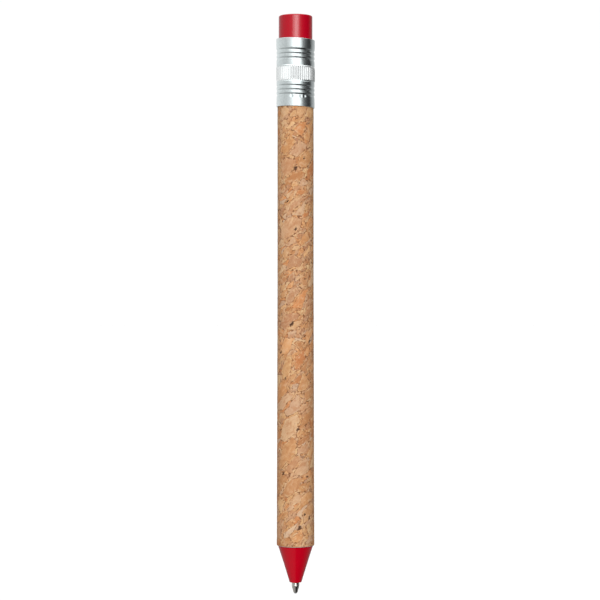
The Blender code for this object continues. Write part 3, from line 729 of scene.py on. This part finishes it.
def nose_cone():
    """The red cone with its stepped bore, and the threaded spigot that screws into the front bush."""
    (_, _, low), _ = node_box("nose_cone")
    (_, _, cork_low), _ = node_box("cork_sleeve")
    shoulder = cork_low - 0.1
    cone_low = low + NOSE_CHAMFER
    root = THREAD_ROOT_RADIUS

    def radius_at(z):
        up = (z - cone_low) / (shoulder - cone_low)
        straight = NOSE_LIP_RADIUS + (NOSE_SHOULDER_RADIUS - NOSE_LIP_RADIUS) * up
        return straight - NOSE_WAIST * 4 * up * (1 - up)

    outline = [
        (NOSE_BORE, SPIGOT_TOP_Z),
        (NOSE_BORE, NOSE_BORE_Z),
        (NOSE_THROAT, NOSE_BORE_Z),
        (NOSE_THROAT, NOSE_THROAT_Z),
        (NOSE_HOLE, NOSE_HOLE_Z),
        (NOSE_HOLE, low + NOSE_HOLE_EDGE),
    ]
    outline += fillet(NOSE_HOLE + NOSE_HOLE_EDGE, low + NOSE_HOLE_EDGE, NOSE_HOLE_EDGE, 180, 270, 3)
    outline += fillet(NOSE_LIP_RADIUS - NOSE_CHAMFER, cone_low, NOSE_CHAMFER, -85, -8, 5)
    outline += [(radius_at(z), z) for z in np.linspace(cone_low + 0.05, shoulder - 0.06, NOSE_ROWS)]
    outline += [(4.78, shoulder - 0.02), (4.72, shoulder), (root, shoulder), (root, THREAD_START_Z)]
    rows = np.arange(1, THREAD_ROWS + 1)
    outline += [(root, THREAD_START_Z + row * THREAD_LENGTH / THREAD_ROWS) for row in rows]
    outline += [(root, SPIGOT_TOP_Z - 0.2), (root - 0.2, SPIGOT_TOP_Z)]

    def thread(turn, radius, z):
        """A rounded thread on the spigot, which runs out at both ends."""
        along = (z - THREAD_START_Z) / THREAD_PITCH
        wave = 0.5 - 0.5 * np.cos(math.tau * (along - turn / math.tau + THREAD_PHASE))
        runout = np.clip(np.minimum(2 * along, 2 * (THREAD_TURNS - along)), 0, 1)
        on_spigot = np.abs(radius - root) < 0.01
        return np.where(on_spigot, THREAD_HEIGHT * wave * runout, 0)

    # The nose's red is painted lighter than the button's: painted light standing for light bounced up from
    # the floor below.
    piece = turned("nose", outline, red_plastic("nose_red_painted_bounce_light", 0.315, 1.1), 144, sharp=40, shift=thread)
    return finish_with(piece, "barrel", "nose_cone", "nose_cone")


INK_CHANNEL_RADIUS = 0.3
STEM_RADIUS = 0.9
STEM_TOP_Z = 17.0
COLLAR_RADIUS = 1.15
COLLAR_TOP_Z = 12.2
BALL_RADIUS = 0.5


def point():
    """The turned point: a socket for the ball, an ink channel, and a stem pressed into the refill."""
    socket = [(0.505, 0.34), (0.525, 0.42), (0.54, 0.5), (0.5, 0.7)]
    channel = [(INK_CHANNEL_RADIUS, 1.15), (INK_CHANNEL_RADIUS, STEM_TOP_Z)]
    stem = [(STEM_RADIUS, STEM_TOP_Z), (STEM_RADIUS, COLLAR_TOP_Z)]
    collar = [(COLLAR_RADIUS, COLLAR_TOP_Z), (COLLAR_RADIUS, 5.15), (1.14, 5.1), (1.08, 5.0)]
    neck = [(1.06, 4.95), (1.06, 2.35), (1.05, 2.2), (1.01, 2.0)]
    taper = [(0.95, 1.75), (0.87, 1.5), (0.785, 1.2), (0.71, 0.9), (0.645, 0.65)]
    lip = [(0.612, 0.5), (0.59, 0.41), (0.55, 0.36)]
    outline = socket + channel + stem + collar + neck + taper + lip
    metal = turned_metal("nickel_silver", (0.74, 0.71, 0.65, 1), 0.10, 14.0)
    piece = turned("writing_point", outline, metal, 64, sharp=50)
    return finish_with(piece, "refill", "refill_point", "refill_point")


def ball():
    bm = bmesh.new()
    bmesh.ops.create_icosphere(bm, subdivisions=4, radius=BALL_RADIUS * MM)
    mesh = bpy.data.meshes.new("ball")
    bm.to_mesh(mesh)
    bm.free()
    mesh.shade_smooth()
    mesh.materials.append(turned_metal("ball_carbide", (0.55, 0.56, 0.58, 1), 0.05, 3.0))
    made = bpy.data.objects.new("ball_bearing", mesh)
    bpy.context.scene.collection.objects.link(made)
    made.location = (0, 0, BALL_RADIUS * MM)
    return finish_with(made, "ball", "writing_ball", "writing_ball")


WIRE_RADIUS = 0.175
WIRE_SIDES = 12
COIL_RADIUS = 1.85
COIL_TURNS = 10
CLOSED_TURNS = 1
CLOSED_PITCH = 0.4
STEPS_PER_COIL = 36


def spring():
    """The spring as a fine wire. Its first and last turns are closed."""
    (_, _, low), (_, _, high) = node_box("return_spring")
    wire = WIRE_RADIUS
    sides = WIRE_SIDES
    start = low + wire
    end = high - wire
    active = COIL_TURNS - 2 * CLOSED_TURNS
    open_pitch = (end - start - 2 * CLOSED_PITCH * CLOSED_TURNS) / active
    count = COIL_TURNS * STEPS_PER_COIL + 1
    at = np.arange(count) / STEPS_PER_COIL
    rise = CLOSED_PITCH * np.clip(at, 0, CLOSED_TURNS) + open_pitch * np.clip(at - CLOSED_TURNS, 0, active)
    rise = rise + CLOSED_PITCH * np.clip(at - CLOSED_TURNS - active, 0, CLOSED_TURNS)
    turn = at * math.tau
    centre = np.stack([COIL_RADIUS * np.cos(turn), COIL_RADIUS * np.sin(turn), start + rise], axis=1)
    tangent = np.gradient(centre, axis=0)
    tangent /= np.linalg.norm(tangent, axis=1)[:, None]
    outward = np.stack([np.cos(turn), np.sin(turn), 0 * turn], axis=1)
    upward = np.cross(tangent, outward)
    strands = []
    for k in range(sides):
        a = k * math.tau / sides
        strands.append(centre + wire * (math.cos(a) * outward + math.sin(a) * upward))
    points = np.stack(strands, axis=1).reshape(-1, 3) * MM
    faces = []
    for i in range(count - 1):
        for k in range(sides):
            j = (k + 1) % sides
            faces.append((i * sides + k, i * sides + j, (i + 1) * sides + j, (i + 1) * sides + k))
    faces.append(tuple(range(sides)))
    faces.append(tuple((count - 1) * sides + k for k in range(sides)))
    steel = turned_metal("spring_steel", (0.56, 0.56, 0.58, 1), 0.2, 2.0)
    piece = mesh_object("spring_wire", points.tolist(), faces, steel, 60)
    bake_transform(piece)
    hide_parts("return_spring")
    return piece


def dress(material, *nodes):
    """Gives carried-over CAD nodes their material."""
    for name in nodes:
        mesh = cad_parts[name].data
        mesh.materials.clear()
        mesh.materials.append(material)


WHITE = (0.84, 0.84, 0.82, 1)
INK_BLUE = (0.010, 0.030, 0.34, 1)

cork_sleeve()
shell = ferrule()
push_button()
nose_cone()
point()
ball()
spring()
dress(kraft_paper(), "barrel_tube")
dress(moulded_plastic("bush_white", WHITE, 0.35, 0.94), "front_bush", "rear_bush")
dress(moulded_plastic("cam_white", WHITE, 0.3, 0.96), "cam_guide", "cam_plunger", "cam_rotor")
dress(clear_tube(), "refill_tube")
dress(moulded_plastic("ink_blue", INK_BLUE, 0.15, 0.8), "ink_column")


# ------------------------------------------------------------------ studio

# Places and lengths of the studio are in metres, except the sensor, which is in millimetres.
CAMERA_PLACE = (0.00272, -0.500, 0.0811)
CAMERA_SHIFT = -0.009
FOCAL_PIXELS = 1810
IMAGE_PIXELS = 600
SENSOR = 36
FLOOR_Z = -0.012
FLOOR_HALF_WIDTH = 6.0
TARGET = (0, 0, 0.08)
SOFTBOX_DISTANCE = 0.8
CEILING = 2.4
SEEN_BACKGROUND = 1.02


def camera():
    """A level camera in front of the pen, at the photograph's distance, height and field of view."""
    data = bpy.data.cameras.new("photo_camera")
    data.sensor_width = SENSOR
    data.lens = SENSOR * FOCAL_PIXELS / IMAGE_PIXELS
    data.shift_x = CAMERA_SHIFT
    made = bpy.data.objects.new("photo_camera", data)
    made.location = CAMERA_PLACE
    made.rotation_euler = (math.pi / 2, 0, 0)
    bpy.context.scene.collection.objects.link(made)
    bpy.context.scene.camera = made


def softbox(name, azimuth, elevation, width, height, radiance, listed, reaches):
    """An area light facing the pen. If reaches is true it reaches only the listed pieces, otherwise all
    but those. azimuth is from the camera's side, positive to its right. Sizes are in metres."""
    data = bpy.data.lights.new(name, "AREA")
    data.shape = "RECTANGLE"
    data.size = width
    data.size_y = height
    data.energy = radiance * math.pi * width * height
    made = bpy.data.objects.new(name, data)
    a = math.radians(azimuth)
    e = math.radians(elevation)
    made.location = (
        TARGET[0] + SOFTBOX_DISTANCE * math.cos(e) * math.sin(a),
        TARGET[1] - SOFTBOX_DISTANCE * math.cos(e) * math.cos(a),
        TARGET[2] + SOFTBOX_DISTANCE * math.sin(e),
    )
    made.rotation_euler = (math.pi / 2 - e, 0, a)
    made.visible_camera = False
    bpy.context.scene.collection.objects.link(made)
    receivers = bpy.data.collections.new(name + "_receivers")
    for piece in listed:
        receivers.objects.link(piece)
    for member in receivers.collection_objects:
        member.light_linking.link_state = "INCLUDE" if reaches else "EXCLUDE"
    made.light_linking.receiver_collection = receivers
    return made


def floor():
    """One sheet of pale paper, which the pen neither mirrors nor takes light from."""
    bm = bmesh.new()
    bmesh.ops.create_grid(bm, x_segments=1, y_segments=1, size=FLOOR_HALF_WIDTH)
    mesh = bpy.data.meshes.new("studio_floor")
    bm.to_mesh(mesh)
    bm.free()
    paper = Material("floor_paper", Roughness=0.9, Specular_IOR_Level=0.0)
    mottle = paper.noise(paper.place, 0.05, 2.0)
    paper.set(Base_Color=paper.mix_colour(mottle, (0.765, 0.765, 0.765, 1), (0.775, 0.775, 0.775, 1)))
    mesh.materials.append(paper.material)
    made = bpy.data.objects.new("studio_floor", mesh)
    made.location = (0, 0, FLOOR_Z)
    made.visible_glossy = False
    made.visible_diffuse = False
    made.visible_transmission = False
    made.visible_shadow = False
    bpy.context.scene.collection.objects.link(made)
    return made


def surroundings():
    """The studio: white to the camera, and grey walls, a dark flag on the right, a dark card low in
    front and a pale ceiling to everything else."""
    world = bpy.data.worlds.new("studio")
    bpy.context.scene.world = world
    world.use_nodes = True
    w = Tree(world.node_tree)
    background = world.node_tree.nodes["Background"]
    x, y, z = w.separate(w.node("ShaderNodeTexCoord").outputs["Generated"])
    azimuth = w.math("ARCTAN2", x, w.math("MULTIPLY", y, -1.0))
    turn = w.math("ADD", w.math("DIVIDE", azimuth, math.tau), 0.5)
    elevation = w.math("ARCSINE", z)

    def grey(value):
        return (value, value, value, 1)

    def round_the_room(stops):
        return w.ramp(turn, [((degrees + 180) / 360, grey(value)) for degrees, value in stops])

    walls = round_the_room([
        (-180, 0.88), (-150, 0.84), (-110, 0.76), (-70, 0.63), (-51, 0.63), (-38, 0.80), (-26, 0.98),
        (-14, 1.40), (28, 1.40), (36, 0.86), (45, 0.28), (60, 0.12), (75, 0.05), (98, 0.03),
        (118, 0.36), (145, 0.50), (165, 0.70), (180, 0.88),
    ])
    low = round_the_room([
        (-180, 0.60), (-120, 0.45), (-40, 0.36), (-6, 0.28), (4, 0.02), (62, 0.02), (100, 0.2),
        (150, 0.45), (180, 0.60),
    ])
    degree = math.radians(1)
    room = w.mix_colour(w.step(elevation, -16 * degree, -7 * degree), low, walls)
    room = w.mix_colour(w.step(elevation, 42 * degree, 58 * degree), room, grey(CEILING))
    seen = w.node("ShaderNodeLightPath").outputs["Is Camera Ray"]
    w.link(w.mix_colour(seen, room, grey(SEEN_BACKGROUND)), background.inputs["Color"])


camera()
paper_floor = floor()
surroundings()
unlit = [shell, paper_floor]
softbox(
    "wide_softbox", azimuth=3, elevation=10, width=0.64, height=0.90, radiance=3.4,
    listed=unlit, reaches=False,
)
softbox(
    "narrow_softbox", azimuth=6, elevation=10, width=0.29, height=0.90, radiance=4.4,
    listed=unlit, reaches=False,
)
fill = softbox(
    "band_fill", azimuth=0, elevation=15, width=0.60, height=0.60, radiance=3.3,
    listed=[shell], reaches=True,
)
fill.visible_glossy = False
back = softbox(
    "back_softbox", azimuth=185, elevation=20, width=0.90, height=0.90, radiance=2.8,
    listed=unlit, reaches=False,
)
back.visible_glossy = False
bpy.context.scene.view_settings.view_transform = "Standard"
